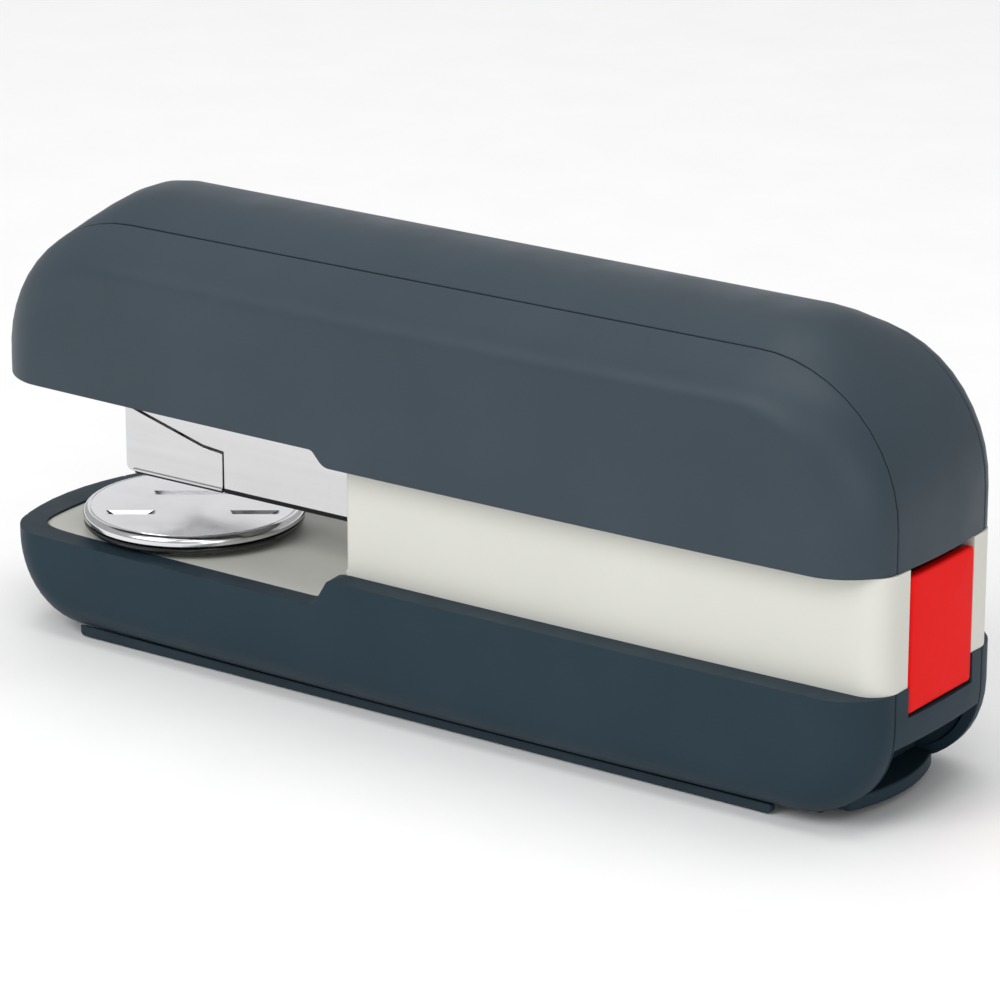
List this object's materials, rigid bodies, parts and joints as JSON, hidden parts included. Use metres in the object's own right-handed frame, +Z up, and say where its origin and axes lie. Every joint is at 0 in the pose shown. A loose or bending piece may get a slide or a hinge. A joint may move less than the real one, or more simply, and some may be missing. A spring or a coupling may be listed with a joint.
{
  "type": "electric stapler",
  "caption": "Cordless electric desk stapler: loaf-shaped shell over a cream band and a dark base, open mouth with a turning anvil disc, push button at the rear.",
  "frame": {"origin": "on the surface that the stapler stands on, under the middle of its length and width", "axes": "+Z up, -X towards the mouth, +X towards the rear button, +Y to the left of a user who faces the mouth"},
  "size_m": [0.1644, 0.0414, 0.0696],
  "materials": {
    "shell_plastic": "satin, fine moulded grain",
    "base_plastic": "satin, fine moulded grain",
    "cream_plastic": "satin",
    "red_plastic": "semi-gloss",
    "chrome_plate": "polished",
    "anvil_steel": "polished, turned",
    "bare_steel": "satin",
    "zinc_sheet": "zinc plated",
    "black_plastic": "gloss",
    "dark_insert": "matt",
    "foot_rubber": "matt",
    "white_nylon": "waxy",
    "brass_metal": "turned",
    "spring_steel": "oiled",
    "board_green": "lacquered",
    "cell_wrap": "printed film, no marks"
  },
  "bodies": {
    "housing": {"upper_centre_cover": "shell_plastic", "upper_side_cover_right": "shell_plastic", "upper_side_cover_left": "shell_plastic", "mouth_roof": "dark_insert", "mid_housing": "cream_plastic", "paper_tray": "cream_plastic", "base_tub": "base_plastic", "housing_screws": "bare_steel", "foot_rail_right": "foot_rubber", "foot_rail_left": "foot_rubber", "battery_cells": "cell_wrap", "battery_contacts": "spring_steel", "anvil_ring": "black_plastic", "anvil_rivet": "bare_steel", "anvil_washer": "bare_steel", "head_pivot_pin": "bare_steel", "rocker_pivot_pin": "bare_steel", "idler_axle": "bare_steel", "motor_can": "bare_steel", "motor_screws": "bare_steel", "chassis_plate_left": "zinc_sheet", "chassis_plate_right": "zinc_sheet", "chassis_spacers": "bare_steel", "chassis_screws": "bare_steel", "circuit_board": "board_green", "micro_switch": "dark_insert", "sensor_pin": "bare_steel"},
    "button": {"release_button": "red_plastic", "release_link": "white_nylon", "release_spring": "spring_steel"},
    "head": {"head_cradle": "chrome_plate", "cradle_strips": "dark_insert", "head_return_springs": "spring_steel"},
    "magazine": {"magazine_nose": "chrome_plate", "magazine_channel": "bare_steel", "staple_rail": "bare_steel", "pusher_rod": "bare_steel", "staple_strip": "bare_steel"},
    "pusher": {"staple_pusher": "dark_insert", "pusher_spring": "spring_steel"},
    "driver": {"driver_blade": "bare_steel", "driver_holder": "zinc_sheet"},
    "rocker": {"drive_rocker": "zinc_sheet"},
    "cam": {"cam_axle": "bare_steel", "cam_gear": "white_nylon"},
    "idler": {"idler_gear": "white_nylon"},
    "rotor": {"motor_pinion": "brass_metal", "motor_shaft": "bare_steel"},
    "anvil": {"anvil_disc": "anvil_steel"},
    "door": {"battery_door": "base_plastic"},
    "sensor": {"sensor_lever": "dark_insert"}
  },
  "joints": [
    {"name": "cam_turn", "type": "hinge", "parent": "housing", "child": "cam", "pos_m": [0.023, 0, 0.0505], "axis": [0, -1, 0], "range_deg": [0, 180]},
    {"name": "rocker_swing", "type": "hinge", "parent": "housing", "child": "rocker", "pos_m": [-0.018, 0, 0.055], "axis": [0, -1, 0], "range_deg": [0, 19.2]},
    {"name": "head_swing", "type": "hinge", "parent": "housing", "child": "head", "pos_m": [0.03, 0, 0.033], "axis": [0, -1, 0], "range_deg": [0, 3.3], "stiffness_Nm_per_rad": 0.1, "springref_deg": -17.19, "deforming": ["head_return_springs"]},
    {"name": "driver_stroke", "type": "slide", "parent": "head", "child": "driver", "axis": [0, 0, -1], "range_m": [0, 0.0082]},
    {"name": "idler_spin", "type": "hinge", "parent": "housing", "child": "idler", "pos_m": [0.04112, 0, 0.0537], "axis": [0, -1, 0], "range_deg": [-510, 0]},
    {"name": "motor_spin", "type": "hinge", "parent": "housing", "child": "rotor", "pos_m": [0.0544, 0, 0.05014], "axis": [0, -1, 0], "range_deg": [0, 2040]},
    {"name": "magazine_slide", "type": "slide", "parent": "head", "child": "magazine", "axis": [1, 0, 0], "range_m": [-0.055, 0]},
    {"name": "pusher_travel", "type": "slide", "parent": "magazine", "child": "pusher", "axis": [1, 0, 0], "range_m": [0, 0.03], "stiffness_N_per_m": 30, "springref_m": -0.03, "deforming": ["pusher_spring"]},
    {"name": "release_press", "type": "slide", "parent": "housing", "child": "button", "axis": [-1, 0, 0], "range_m": [0, 0.003], "stiffness_N_per_m": 800, "springref_m": -0.001, "deforming": ["release_spring"]},
    {"name": "anvil_turn", "type": "hinge", "parent": "housing", "child": "anvil", "pos_m": [-0.0562, 0, 0.019], "axis": [0, 0, 1], "range_deg": [-125.5, 54.5]},
    {"name": "door_swing", "type": "hinge", "parent": "housing", "child": "door", "pos_m": [-0.027, 0, 0.0024], "axis": [0, 1, 0], "range_deg": [0, 90]},
    {"name": "sensor_swing", "type": "hinge", "parent": "housing", "child": "sensor", "pos_m": [-0.008, 0, 0.038], "axis": [0, -1, 0], "range_deg": [0, 12], "stiffness_Nm_per_rad": 0.002, "springref_deg": -5.73}
  ],
  "couplings": [
    {"joint": "rocker_swing", "follows": "cam_turn", "ratio": 0.10667},
    {"joint": "head_swing", "follows": "cam_turn", "ratio": 0.018333},
    {"joint": "driver_stroke", "follows": "cam_turn", "m_per_rad": 0.0026101},
    {"joint": "idler_spin", "follows": "cam_turn", "ratio": -2.8333},
    {"joint": "motor_spin", "follows": "cam_turn", "ratio": 11.333}
  ]
}
